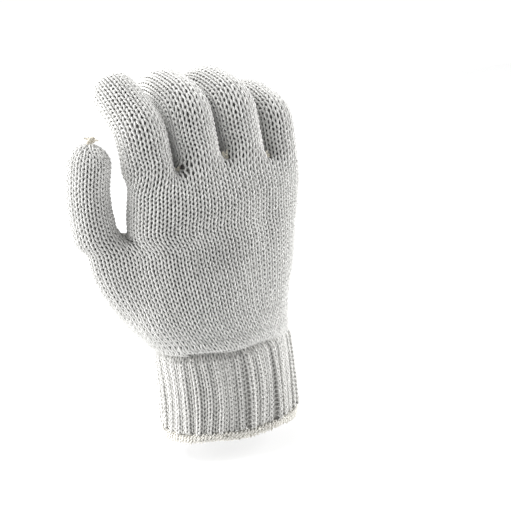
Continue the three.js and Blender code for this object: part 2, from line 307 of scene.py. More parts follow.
@dataclass
class Stall:
    """The middle line and the size of a finger or the thumb, at even steps."""

    along: Array
    point: Array
    side: Array
    front: Array
    half_width: Array
    half_depth: Array
    root: float

    def at(self, along: float) -> tuple:
        """The middle line and the sizes at a length along the stall.

        Args:
            along: The length.

        Returns:
            The point, the side's and the front's directions, the half width and the half depth.
        """
        line = (self.point, self.side, self.front)
        vectors = [np.array([np.interp(along, self.along, v[:, k]) for k in range(3)]) for v in line]
        sizes = [np.interp(along, self.along, size) for size in (self.half_width, self.half_depth)]
        return (*vectors, *sizes)

    def slice(self, height: float, inset: float, count: int = 48) -> Array:
        """The outline of the stall at a height, without the stretches that lie lower than its start.

        Args:
            height: The height.
            inset: How far inside the outer face the outline lies.
            count: How many points it has at most.

        Returns:
            The points.
        """
        points = []
        for turn in turns_of(count):
            wide = (self.half_width - inset)[:, None] * math.cos(turn) * self.side
            deep = (self.half_depth - inset)[:, None] * math.sin(turn) * self.front
            wall = self.point + wide + deep
            if wall[0, 2] < height < wall[-1, 2]:
                points.append([np.interp(height, wall[:, 2], wall[:, axis]) for axis in range(3)])
        return np.array(points).reshape(-1, 3)

    def cap(self) -> tuple:
        """Where the round tip starts and its radius."""
        radius = float(self.half_width[-1])
        return float(self.along[-1]) - radius, radius

    def surface_length(self) -> float:
        """The length over the skin from the root to the middle of the tip."""
        start, radius = self.cap()
        return start - self.root + radius * math.pi / 2

    def ring(self, over: float, inset: float, count: int) -> Array:
        """A round of points at a length over the skin from the root.

        Args:
            over: The length over the skin.
            inset: How far inside the outer face the round lies.
            count: How many points it has, the first on the side away from the little finger.

        Returns:
            The points.
        """
        start, radius = self.cap()
        along = self.root + over
        share = 1.0
        like = along
        if along > start:
            angle = min((along - start) / radius, math.pi / 2)
            along, share, like = start + (radius - inset) * math.sin(angle), math.cos(angle), start
        point, side, front, _, _ = self.at(along)
        _, _, _, half_width, half_depth = self.at(like)
        turn = math.pi + turns_of(count)
        wide = (half_width - inset) * share * np.cos(turn)[:, None] * side
        deep = (half_depth - inset) * share * np.sin(turn)[:, None] * front
        return point + wide + deep


@dataclass
class HandForm:
    """The glove's outer form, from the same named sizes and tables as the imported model."""

    palm_length: float = 99.5
    palm_width: float = 105.0
    palm_depth: float = 46.0
    lean: float = 3.5
    fullness: float = 2.25
    finger_length: float = 77.0
    finger_girth_share: float = 0.61
    buried: float = 20.0
    thumb_girth: float = 25.5
    thumb_web: float = 63.0
    joints: tuple = (-0.06, 0.4, 0.72)
    joint_spread: float = 0.3
    thumb_steps: int = 400
    wrist: float = field(init=False)
    hem_top: float = field(init=False)
    cuff_width: float = field(init=False)
    cuff_depth: float = field(init=False)

    def __post_init__(self) -> None:
        """Reads the cuff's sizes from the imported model."""
        low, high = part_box("rib_cuff")
        self.cuff_width = (high.x - low.x) / METRES
        self.cuff_depth = (high.y - low.y) / METRES
        self.hem_top = low.z / METRES
        self.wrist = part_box("palm")[0].z / METRES

    def hand_point(self, across: float, toward: float, up: float) -> Array:
        """The point at shares of the palm's sizes.

        Args:
            across: The share of its width, from the middle toward the little finger.
            toward: The share of its depth, from the middle toward the palm side.
            up: The share of its length, from the wrist.

        Returns:
            The point.
        """
        height = up * self.palm_length
        shift = height * math.tan(math.radians(self.lean))
        return np.array([across * self.palm_width + shift, toward * self.palm_depth, self.wrist + height])

    def oval(self, height: float, inset: float) -> Array:
        """The hand's or the cuff's outline at a height.

        Args:
            height: The height above the origin.
            inset: How far inside the outer face the outline lies.

        Returns:
            A fine outline from the little finger's side by way of the palm.
        """
        up = (height - self.wrist) / self.palm_length
        at = read_table(HAND_SECTIONS, SECTION_COLUMNS, max(up, 0.0))
        mix = at["palm"]
        half_width = (self.cuff_width * (1 - mix) + self.palm_width * at["wide"] * mix) / 2 - inset
        half_depth = (self.cuff_depth * (1 - mix) + self.palm_depth * at["deep"] * mix) / 2 - inset
        centre = self.hand_point(at["across"], at["toward"], up) if up > 0 else height * UP
        power = 2 / (2 + (self.fullness - 2) * mix)
        turn = turns_of(OUTLINE_POINTS)
        c, s = np.cos(turn), np.sin(turn)
        outline = np.tile(centre, (OUTLINE_POINTS, 1))
        outline[:, 0] += half_width * np.sign(c) * np.abs(c) ** power
        outline[:, 1] += half_depth * np.sign(s) * np.abs(s) ** power
        return outline

    def finger(self, row: Finger) -> Stall:
        """The stall of a finger, bent at its three joints.

        Args:
            row: The finger's row of the table.

        Returns:
            The stall.
        """
        lean = math.radians(row.splay + self.lean)
        turn = math.radians(row.turn)
        rise = np.array([math.sin(lean), 0, math.cos(lean)])
        bend = np.array([math.sin(turn), math.cos(turn), 0])
        bend = unit(bend - bend @ rise * rise)
        side = np.cross(bend, rise)
        length = self.finger_length * row.length
        half_girth = self.finger_girth_share * self.palm_depth * row.girth / 2
        along = np.arange(-self.buried, length + 0.5)
        share = along / length
        half = self.joint_spread / 2
        angle = np.zeros_like(share)
        for bend_by, joint in zip(row.bends, self.joints):
            angle = angle + math.radians(bend_by) * smoothstep(share, joint - half, joint + half)
        angle = angle[:, None]
        tangent = rise * np.cos(angle) + bend * np.sin(angle)
        start = self.hand_point(row.across, row.toward, 1 - row.web) - self.buried * rise
        point = start + np.vstack([np.zeros(3), np.cumsum(tangent[:-1], axis=0)])
        girth = [read_table(STALL_GIRTH, GIRTH_COLUMNS, s) for s in share]
        return Stall(
            along=along,
            point=point,
            side=np.tile(side, (len(along), 1)),
            front=np.cross(tangent, side),
            half_width=half_girth * np.array([g["wide"] for g in girth]),
            half_depth=half_girth * np.array([g["deep"] for g in girth]),
            root=0.0,
        )

    def thumb(self) -> Stall:
        """The thumb's stall, along a smooth line through its table.

        Returns:
            The stall.
        """
        rows = [(i, *row) for i, row in enumerate(THUMB_LINE)]
        places = np.linspace(0, len(rows) - 1, self.thumb_steps)
        read = [read_table(rows, ("row", *THUMB_COLUMNS), p) for p in places]
        points = np.array([self.hand_point(r["across"], r["toward"], r["up"]) for r in read])
        steps = np.linalg.norm(np.diff(points, axis=0), axis=1)
        length = np.concatenate([[0], np.cumsum(steps)])
        along = np.arange(0, length[-1], 1.0)
        point = np.stack([np.interp(along, length, points[:, k]) for k in range(3)], axis=1)
        tangent = unit(np.gradient(point, axis=0))
        front = unit(np.array([0.0, 1.0, 0.0]) - tangent[:, 1:2] * tangent)
        half = self.thumb_girth / 2 * np.interp(along, length, [r["girth"] for r in read])
        root = float(along[np.searchsorted(point[:, 2], self.wrist + self.thumb_web)])
        return Stall(along, point, np.cross(front, tangent), front, half, half, root)


@dataclass
class Panel:
    """A round of wales by a number of courses, as one point a stitch on the middle of the cloth."""

    name: str
    points: Array
    sure: Array
    below: Array = field(default=None)
    above: Array = field(default=None)

    @property
    def wales(self) -> int:
        """How many stitches a round has."""
        return self.points.shape[1]


@dataclass
class GloveMap:
    """Where every stitch of the glove lies.

    Settling pulls the cloth smooth and pushes it back out by turns, up to about reach courses from each join.
    """

    form: HandForm
    settle: int = 60
    pull: float = 0.5
    push: float = -0.52
    reach: float = 7.0
    hand_smoothing: int = 8
    top_smoothing: int = 6
    levels: int = 60
    coarser: int = 6
    web_softness: int = 12
    stalls: dict = field(init=False)
    panels: dict = field(init=False)

    def __post_init__(self) -> None:
        """Lays the panels out and settles the places where they join."""
        self.stalls = {row.name: self.form.finger(row) for row in FINGERS}
        self.stalls["thumb"] = self.form.thumb()
        self.panels = {}
        self.lay_cuff()
        self.lay_hand()
        self.lay_knuckles()
        for name, stall in self.stalls.items():
            self.lay_stall(name, stall)
        self.settle_joins()
        for panel in self.panels.values():
            panel.below = self.beyond(panel, top=False)
            panel.above = self.beyond(panel, top=True)

    def add(self, name: str, rounds: list, ends: tuple) -> None:
        """Keeps a panel, with how firmly each course holds its place.

        Args:
            name: The panel's name.
            rounds: Its courses.
            ends: Whether its first and last courses are free to settle.
        """
        points = np.array(rounds)
        rows = np.arange(len(rounds))
        far = np.full(len(rounds), np.inf)
        if ends[0]:
            far = np.minimum(far, rows)
        if ends[1]:
            far = np.minimum(far, rows[::-1])
        free = np.exp(-((far / self.reach) ** 2))
        self.panels[name] = Panel(name, points, np.tile(1 - free[:, None], (1, points.shape[1])))

    def lay_cuff(self) -> None:
        """The cuff's courses, from the hem to the wrist."""
        form = self.form
        length = form.wrist - form.hem_top
        places = (np.arange(HAND_WALES) - HAND_SIDE_WALE) / HAND_WALES
        rounds = []
        for row in range(CUFF_COURSES):
            up = (row + 0.5) / CUFF_COURSES
            height = form.hem_top + up * length
            rounds.append(evenly_round(form.oval(height, CLOTH_DEPTH), places))
        self.add("cuff", rounds, (False, False))

    def lay_hand(self) -> None:
        """The lower hand's courses, round the hand and the thumb's root together."""
        form = self.form
        thumb = self.stalls["thumb"]
        places = (np.arange(HAND_WALES) - HAND_SIDE_WALE) / HAND_WALES
        rounds = []
        for row in range(HAND_COURSES):
            height = form.wrist + (row + 0.5) / HAND_COURSES * form.thumb_web
            outline = form.oval(height, CLOTH_DEPTH)
            rounds.append(evenly_round(self.with_thumb(outline, thumb, height), places))
        rounds = np.array(rounds)
        for _ in range(self.hand_smoothing):
            rounds[1:-1] = (rounds[:-2] + 2 * rounds[1:-1] + rounds[2:]) / 4
        self.add("hand", rounds, (False, True))

    def with_thumb(self, outline: Array, thumb: Stall, height: float) -> Array:
        """The outline of the hand and of the thumb's root at one height, as one.

        Args:
            outline: The hand's outline.
            thumb: The thumb's stall.
            height: The height.

        Returns:
            The joint outline, starting on the little finger's side.
        """
        skin = thumb.slice(height, CLOTH_DEPTH)
        if len(skin) < 3:
            return outline
        centre = outline.mean(axis=0)
        turn = turns_of(OUTLINE_POINTS)
        ray = np.stack([np.cos(turn), np.sin(turn)], axis=1)
        reach = np.maximum(reach_of(outline[:: self.coarser] - centre, ray), reach_of(skin - centre, ray))
        width = self.web_softness
        kernel = np.exp(-0.5 * (np.arange(-3 * width, 3 * width + 1) / width) ** 2)
        padded = np.concatenate([reach[-3 * width:], reach, reach[: 3 * width]])
        reach = np.convolve(padded, kernel / kernel.sum(), mode="valid")
        joint = centre + np.pad(ray * reach[:, None], ((0, 0), (0, 1)))
        return np.roll(joint, -int(np.argmax(joint[:, 0])), axis=0)

    def lay_knuckles(self) -> None:
        """The upper hand's courses, from the thumb's web to the fingers."""
        form = self.form
        top = np.zeros(KNUCKLE_WALES)
        for lower, wale, count, upper, _ in JOINS:
            if lower != "knuckles":
                continue
            web = next(row.web for row in FINGERS if row.name == upper)
            top[wale:wale + count] = form.wrist + form.palm_length * (1 - web)
        for _ in range(self.top_smoothing):
            top = (np.roll(top, 1) + top + np.roll(top, -1)) / 3
        bottom = form.wrist + form.thumb_web
        places = (np.arange(KNUCKLE_WALES) - KNUCKLE_SIDE_WALE) / KNUCKLE_WALES
        heights = np.linspace(bottom - 2, top.max() + 1, self.levels)
        grid = np.array([evenly_round(form.oval(height, CLOTH_DEPTH), places) for height in heights])
        rounds = []
        for row in range(KNUCKLE_COURSES):
            want = bottom + (row + 0.5) / KNUCKLE_COURSES * (top - bottom)
            read = [[np.interp(z, heights, line) for line in grid[:, k].T] for k, z in enumerate(want)]
            rounds.append(read)
        self.add("knuckles", rounds, (True, True))

    def lay_stall(self, name: str, stall: Stall) -> None:
        """A finger's or the thumb's courses, from its root to its tip.

        Args:
            name: The finger's name.
            stall: Its stall.
        """
        courses, wales = STALL_COURSES[name], STALL_WALES[name]
        length = stall.surface_length() - TIP_OPENING
        rounds = [stall.ring((row + 0.5) / courses * length, CLOTH_DEPTH, wales) for row in range(courses)]
        self.add(name, rounds, (True, False))

    def partners(self, panel: Panel, top: bool) -> list:
        """What each wale at one end of a panel goes on in.

        Args:
            panel: The panel.
            top: Whether it's the upper end.

        Returns:
            For each wale the panel, its wale and whether it's met at its last course, or nothing.
        """
        found = [None] * panel.wales
        for lower, wale, count, upper, other in JOINS:
            for k in range(count):
                if top and lower == panel.name:
                    found[wale + k] = (upper, other + k, False)
                if not top and upper == panel.name:
                    found[other + k] = (lower, wale + k, True)
        if top:
            return found
        for first, wale, count, second, other in CROTCHES:
            for k in range(count):
                if first == panel.name:
                    found[wale + k] = (second, other - k, False)
                if second == panel.name:
                    found[(other - k) % panel.wales] = (first, wale + k, False)
        return found

    def beyond(self, panel: Panel, top: bool, count: int = EDGE_COURSES) -> Array:
        """The courses past one end of a panel, as the cloth goes on there.

        Args:
            panel: The panel.
            top: Whether it's the upper end.
            count: How many courses.

        Returns:
            The courses, nearest first.
        """
        rows = panel.points[::-1] if top else panel.points
        out = np.array([rows[0] + (rows[0] - rows[1]) * (k + 1) for k in range(count)])
        for wale, partner in enumerate(self.partners(panel, top)):
            if partner is None:
                continue
            other = self.panels[partner[0]].points
            column = other[:, partner[1] % other.shape[1]]
            out[:, wale] = (column[::-1] if partner[2] else column)[:count]
        return out

    def settle_joins(self) -> None:
        """Smooths the cloth near the joins without shrinking it."""
        for step in range(2 * self.settle):
            share = self.pull if step % 2 == 0 else self.push
            moved = {}
            for name, panel in self.panels.items():
                p = panel.points
                under = np.concatenate([self.beyond(panel, False, 1), p[:-1]])
                over = np.concatenate([p[1:], self.beyond(panel, True, 1)])
                mean = (np.roll(p, 1, axis=1) + np.roll(p, -1, axis=1) + under + over) / 4
                moved[name] = p + share * (1 - panel.sure[..., None]) * (mean - p)
            for name, points in moved.items():
                self.panels[name].points = points


def spline_weights(t: Array) -> tuple:
    """The weights of four points in a row and of the slope through them.

    Args:
        t: The shares of the way between the middle two points.

    Returns:
        The four weights of the value and the four of the slope.
    """
    value = (
        (-t + 2 * t**2 - t**3) / 2,
        (2 - 5 * t**2 + 3 * t**3) / 2,
        (t + 4 * t**2 - 3 * t**3) / 2,
        (-(t**2) + t**3) / 2,
    )
    slope = (
        (-1 + 4 * t - 3 * t**2) / 2,
        (-10 * t + 9 * t**2) / 2,
        (1 + 8 * t - 9 * t**2) / 2,
        (-2 * t + 3 * t**2) / 2,
    )
    return value, slope


@dataclass
class Cloth:
    """A smooth surface through a panel's stitches."""

    panel: Panel

    def __post_init__(self) -> None:
        """Joins the panel to the courses past its ends."""
        self.grid = np.concatenate([self.panel.below[::-1], self.panel.points, self.panel.above])

    def at(self, wale: Array, course: Array) -> tuple:
        """Points of the surface and its outward normals.

        Args:
            wale: The places round it, in wales.
            course: The places up it, in courses.

        Returns:
            The points and the normals.
        """
        rows, wales = self.grid.shape[:2]
        v = np.clip(course + EDGE_COURSES, 1, rows - LAST_ROWS)
        row, column = np.floor(v).astype(int), np.floor(wale).astype(int)
        across, across_slope = spline_weights(wale - column)
        up, up_slope = spline_weights(v - row)
        point = np.zeros((*wale.shape, 3))
        along_u, along_v = point.copy(), point.copy()
        for i in range(4):
            for j in range(4):
                p = self.grid[row + i - 1, (column + j - 1) % wales]
                point += (up[i] * across[j])[..., None] * p
                along_u += (up[i] * across_slope[j])[..., None] * p
                along_v += (up_slope[i] * across[j])[..., None] * p
        return point, unit(np.cross(along_u, along_v))


@dataclass
class YarnMesh:
    """Round yarns gathered into one mesh."""

    sides: int = 5
    points: list = field(default_factory=list)
    faces: list = field(default_factory=list)
    uvs: list = field(default_factory=list)
    count: int = 0
    matted: tuple = (0, 0)

    def add(self, line: Array, normal: Array, radius: Array, closed: bool = True) -> None:
        """Adds one yarn.

        Args:
            line: The points of its middle line.
            normal: A direction at each point that its skin's pattern is laid from.
            radius: Its radius at each point.
            closed: Whether its end meets its start.
        """
        n = len(line)
        if closed:
            tangent = unit(np.roll(line, -1, axis=0) - np.roll(line, 1, axis=0))
        else:
            tangent = unit(np.gradient(line, axis=0))
        across = unit(np.cross(tangent, normal))
        out = np.cross(across, tangent)
        turn = turns_of(self.sides)
        ring = np.cos(turn)[:, None] * across[:, None, :] + np.sin(turn)[:, None] * out[:, None, :]
        self.points.append((line[:, None, :] + ring * radius[:, None, None]).reshape(-1, 3))
        last = n if closed else n - 1
        i = np.arange(last)
        j = (i + 1) % n
        side = np.arange(self.sides)
        next_side = (side + 1) % self.sides
        this, after = i[:, None] * self.sides, j[:, None] * self.sides
        corners = [this + side, this + next_side, after + next_side, after + side]
        quads = np.stack(corners, axis=-1).reshape(-1, 4)
        steps = np.linalg.norm(np.roll(line, -1, axis=0) - line, axis=1)[:last]
        length = np.concatenate([[0], np.cumsum(steps)])
        full = np.ones((last, self.sides))
        start, end = length[:-1, None] * full, length[1:, None] * full
        low, high = side / self.sides * full, (side + 1) / self.sides * full
        uv = np.stack([start, low, start, high, end, high, end, low], axis=-1).reshape(-1, 2)
        self.faces.append(quads + self.count)
        self.uvs.append(uv)
        self.count += n * self.sides
        if not closed:
            self.close_ends(n)

    def add_sheet(self, grid: Array) -> None:
        """Adds a sheet that goes right round, which takes the dark backing finish of painted shade.

        Args:
            grid: Its rounds of points.
        """
        rows, columns = grid.shape[:2]
        ids = self.count + np.arange(rows * columns).reshape(rows, columns)
        after = np.roll(ids, -1, axis=1)
        quads = np.stack([ids[:-1], ids[1:], after[1:], after[:-1]], axis=-1).reshape(-1, 4)
        self.matted = (sum(len(f) for f in self.faces), len(quads))
        self.points.append(grid.reshape(-1, 3))
        self.faces.append(quads)
        self.uvs.append(np.zeros((4 * len(quads), 2)))
        self.count += rows * columns

    def close_ends(self, rings: int) -> None:
        """Closes both ends of the yarn that was added last.

        Args:
            rings: How many rings of points it has.
        """
        first = self.count - rings * self.sides
        side = np.arange(self.sides)
        for ring, order in ((first, side), (self.count - self.sides, side[::-1])):
            corners = ring + order
            fan = [[corners[0], corners[k], corners[k + 1], corners[k + 1]] for k in range(1, self.sides - 1)]
            self.faces.append(np.array(fan))
            self.uvs.append(np.zeros((4 * len(fan), 2)))

    def build(self, name: str, finish: "YarnFinish") -> bpy.types.Object:
        """Makes the mesh and its object.

        Args:
            name: The piece's name.
            finish: Its finish.

        Returns:
            The object.
        """
        points = np.concatenate(self.points) * METRES
        quads = np.concatenate(self.faces)[:, ::-1]
        uvs = np.concatenate(self.uvs).reshape(-1, 4, 2)[:, ::-1]
        mesh = bpy.data.meshes.new(name)
        corners = [q if q[0] != q[1] else q[1:] for q in quads.tolist()]
        mesh.from_pydata(points.tolist(), [], corners)
        flat = [uv if q[0] != q[1] else uv[1:] for q, uv in zip(quads.tolist(), uvs)]
        layer = mesh.uv_layers.new(name=UV_NAME)
        layer.data.foreach_set("uv", np.concatenate(flat).ravel())
        mesh.polygons.foreach_set("use_smooth", np.ones(len(mesh.polygons), bool))
        mesh.update()
        piece = bpy.data.objects.new(name, mesh)
        bpy.context.collection.objects.link(piece)
        mesh.materials.append(finish.material())
        if self.matted[1]:
            # The sheet behind the loops gets a dark finish: painted shade seen through the holes of the knit
            backing = RIB_SHADE_BACKING if finish.slot is Slot.RIB else SHADE_BACKING
            mesh.materials.append(backing.material())
            numbers = np.zeros(len(mesh.polygons), int)
            numbers[self.matted[0]:sum(self.matted)] = 1
            mesh.polygons.foreach_set("material_index", numbers)
        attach(piece, BODY)
        triangles = sum(len(c) - 2 for c in corners)
        log.info("%s: %d triangles", name, triangles)
        return piece


@dataclass
class Wander:
    """Smooth chance values along a closed line."""

    chance: np.random.Generator
    place: Array
    count: int

    def draw(self, size: float) -> Array:
        """New values at the line's whole places, joined smoothly.

        Args:
            size: How far they spread.

        Returns:
            The value at each point of the line.
        """
        values = self.chance.normal(0, size, self.count)
        low = np.floor(self.place).astype(int)
        share = smoothstep(self.place - low, 0, 1)
        return values[low] * (1 - share) + values[(low + 1) % self.count] * share


@dataclass
class Knitter:
    """Knits a panel's courses in yarn loops.

    A loop is rise courses high, bulges by depth and curls back by omega. The uneven shares say how far chance
    moves each of these.
    """

    radius: float = 0.62
    segments: int = 12
    omega: float = 1.22
    rise: float = 0.76
    depth: float = 0.72
    uneven: float = 0.05
    uneven_across: float = 0.45
    uneven_up: float = 0.4
    uneven_out: float = 1.2
    uneven_radius: float = 0.5
    tip_pitch: float = 3.3
    tightest: float = 0.8
    fewest: int = 5
    backing_depth: float = 0.55
    backing_columns: int = 2
    seed: int = 5

    def knit(self, panel: Panel, courses: range, relief: "Relief | None" = None) -> YarnMesh:
        """Knits some courses of a panel.

        Args:
            panel: The panel.
            courses: Which courses.
            relief: How the cloth stands out and leans, if it does.

        Returns:
            The yarn.
        """
        yarn = YarnMesh()
        cloth = Cloth(panel)
        for course in courses:
            chance = np.random.default_rng([self.seed, len(panel.name), ord(panel.name[0]), course])
            ring = panel.points[course]
            girth = float(np.linalg.norm(np.roll(ring, -1, axis=0) - ring, axis=1).sum())
            stitches = panel.wales
            if girth / panel.wales < self.tip_pitch * self.tightest:
                stitches = max(self.fewest, round(girth / self.tip_pitch))
            self.course(yarn, cloth, course, stitches, chance, relief)
        self.back(yarn, cloth, courses, relief)
        return yarn

    def back(self, yarn: YarnMesh, cloth: Cloth, courses: range, relief: "Relief | None") -> None:
        """Adds a sheet inside the cloth, which closes the loops; its dark colour is painted shade in the
        holes between them.

        Args:
            yarn: Where it's added.
            cloth: The surface that it follows.
            courses: Which courses.
            relief: How the cloth stands out and leans, if it does.
        """
        edges = np.linspace(courses.start - 0.5, courses.stop - 0.5, len(courses) + 1)
        columns = np.arange(self.backing_columns * cloth.panel.wales) / self.backing_columns
        up, wale = np.meshgrid(edges, columns, indexing="ij")
        out = np.full(wale.shape, -self.backing_depth)
        if relief is not None:
            out = out + relief.depth_at(wale, up)
            wale = wale + relief.shift_at(wale, up)
        point, normal = cloth.at(wale, up)
        out = out - dent_at(point, normal)
        yarn.add_sheet(point + out[..., None] * normal)

    def course(
        self,
        yarn: YarnMesh,
        cloth: Cloth,
        course: int,
        stitches: int,
        chance: np.random.Generator,
        relief: "Relief | None",
    ) -> None:
        """Adds one course of loops.

        Args:
            yarn: Where it's added.
            cloth: The surface that it follows.
            course: Its number.
            stitches: How many loops it has.
            chance: Where its unevenness comes from.
            relief: How the cloth stands out and leans, if it does.
        """
        segments = self.segments
        step = np.arange(stitches * segments)
        stitch = step // segments
        t = -math.pi + TURN * (step % segments) / segments
        wander = Wander(chance, step / segments * 2, 2 * stitches)
        omega = self.omega + wander.draw(self.uneven)
        swing = (t + omega * np.sin(2 * t)) / TURN
        across = stitch + swing + wander.draw(self.uneven * self.uneven_across)
        rise = self.rise + wander.draw(self.uneven * self.uneven_up)
        up = course + rise * np.cos(t) + wander.draw(self.uneven * self.uneven_up)
        out = -self.depth * np.cos(2 * t) + wander.draw(self.uneven * self.uneven_out)
        wale = across * cloth.panel.wales / stitches
        if relief is not None:
            out = out + relief.depth_at(wale, up)
            wale = wale + relief.shift_at(wale, up)
        point, normal = cloth.at(wale, up)
        out = out - dent_at(point, normal)
        radius = self.radius * (1 + wander.draw(self.uneven * self.uneven_radius))
        yarn.add(point + out[:, None] * normal, normal, radius)


class Relief:
    """How the cloth stands out from its smooth form."""

    def depth_at(self, wale: Array, course: Array) -> Array:
        """How far the cloth stands out at a place."""
        return np.zeros_like(wale)

    def shift_at(self, wale: Array, course: Array) -> Array:
        """How far the wales lean round at a place, in wales."""
        return np.zeros_like(wale)


@dataclass
class Fold(Relief):
    """The soft roll of the hand's cloth over the cuff, with a crease below it.

    It is strongest round its middle wale at the back of the wrist, and fades out round the wrist.
    """

    wrist: float = 0.0
    middle_wale: float = 6.5
    full_wales: float = 4.8
    fading_wales: float = 15.6
    elsewhere: float = 0.12
    rise: float = 2.5
    rise_at: float = 1.2
    rise_courses: float = 1.0
    drop: float = 3.9
    drop_at: float = -0.5
    drop_courses: float = 0.8
    waver: float = 0.3
    waver_turn: float = 0.5
    waver_from: float = 0.8

    def depth_at(self, wale: Array, course: Array) -> Array:
        """How far the cloth stands out.

        Args:
            wale: The places round it.
            course: The places up it.

        Returns:
            The height at each place.
        """
        up = course - self.wrist
        away = np.abs((wale - self.middle_wale + HAND_WALES / 2) % HAND_WALES - HAND_WALES / 2)
        strong = 1 - (1 - self.elsewhere) * smoothstep(away, self.full_wales, self.fading_wales)
        waver = self.waver * np.sin(wale * self.waver_turn + self.waver_from)
        roll = self.rise * np.exp(-(((up - self.rise_at - waver) / self.rise_courses) ** 2))
        crease = self.drop * np.exp(-(((up - self.drop_at - waver) / self.drop_courses) ** 2))
        return strong * (roll - crease)


@dataclass
class Rib(Relief):
    """The cuff's one-and-one rib, gathered unevenly by its elastic and a little aslant.

    Chance gives each rib its strength, most of them a weak one, and the ribs fade toward the wrist.
    """

    courses: int
    weakest: float = 0.25
    strongest: float = 2.6
    rarity: float = 2.4
    ridge_wales: float = 0.5
    groove_share: float = 0.85
    groove_at: float = -0.95
    gather: float = 0.5
    waves: range = range(5, 15, 2)
    latest_start: float = 6.3
    most_drift: float = 1.2
    fade: float = 0.65
    fade_power: float = 1.5
    slant: float = 2.2
    snake: float = 0.25
    snake_turn: float = 0.6
    seed: int = 21

    def __post_init__(self) -> None:
        """Draws how strong each rib is and how the gathers run."""
        chance = np.random.default_rng(self.seed)
        spread = chance.uniform(0, 1, HAND_WALES // 2) ** self.rarity
        self.strength = self.weakest + (self.strongest - self.weakest) * spread
        count = len(self.waves)
        starts = chance.uniform(0, self.latest_start, count)
        sizes = chance.normal(0, self.gather / math.sqrt(count), count)
        drifts = chance.uniform(-self.most_drift, self.most_drift, count)
        self.gathers = list(zip(self.waves, starts, sizes, drifts))

    def depth_at(self, wale: Array, course: Array) -> Array:
        """How far the cloth stands out.

        Args:
            wale: The places round it.
            course: The places up it.

        Returns:
            The height at each place.
        """
        up = np.clip(course / self.courses, 0, 1)
        ribs = len(self.strength)
        nearest = np.floor(wale / 2 + 0.5).astype(int)
        total = np.zeros(np.shape(wale))
        for rib in (nearest - 1, nearest, nearest + 1):
            away = wale - 2 * rib
            ridge = np.exp(-((away / self.ridge_wales) ** 2))
            groove = np.exp(-(((away - self.groove_at) / self.ridge_wales) ** 2))
            total = total + self.strength[rib % ribs] * (ridge - self.groove_share * groove)
        for waves, start, size, drift in self.gathers:
            total = total + size * np.sin(waves * TURN * wale / HAND_WALES + start + drift * up)
        return total * (1 - self.fade * up**self.fade_power) + Fold(wrist=self.courses).depth_at(wale, course)

    def shift_at(self, wale: Array, course: Array) -> Array:
        """How far the wales lean round the cuff.

        Args:
            wale: The places round it.
            course: The places up it.

        Returns:
            The lean at each place, in wales.
        """
        up = np.clip(course / self.courses, 0, 1)
        snake = self.snake * np.sin(math.pi * up) * np.sin(self.snake_turn * wale)
        return self.slant * up * (1 - up) + snake


def noise_wave(turn: Array, chance: np.random.Generator, waves: range, size: float) -> Array:
    """A smooth closed wander round a ring, made of a few waves.

    Args:
        turn: The angles round it.
        chance: Where the unevenness comes from.
        waves: How many waves go round it.
        size: How far it goes at most.

    Returns:
        The wander at each angle.
    """
    total = np.zeros_like(turn)
    for count in waves:
        total += chance.normal() * np.sin(count * turn + chance.uniform(0, TURN))
    return total * size / math.sqrt(len(waves))


# The cuff's edge inside the hem, as strands of cloth: how high and how far out each one runs
CORE_STRANDS = ((-1.2, -0.2), (-0.1, 0.25), (0.0, -0.45), (1.2, -0.1))


@dataclass(frozen=True)
class Chain:
    """A looper's thread along the hem, in shares of the hem's half height and half depth."""

    height: float
    out: float
    reach: float
    seed: int


CHAINS = (
    Chain(0.6, 0.95, 0.45, 160),
    Chain(0.0, 1.1, 0.5, 100),
    Chain(-0.6, 0.95, 0.4, 40),
)


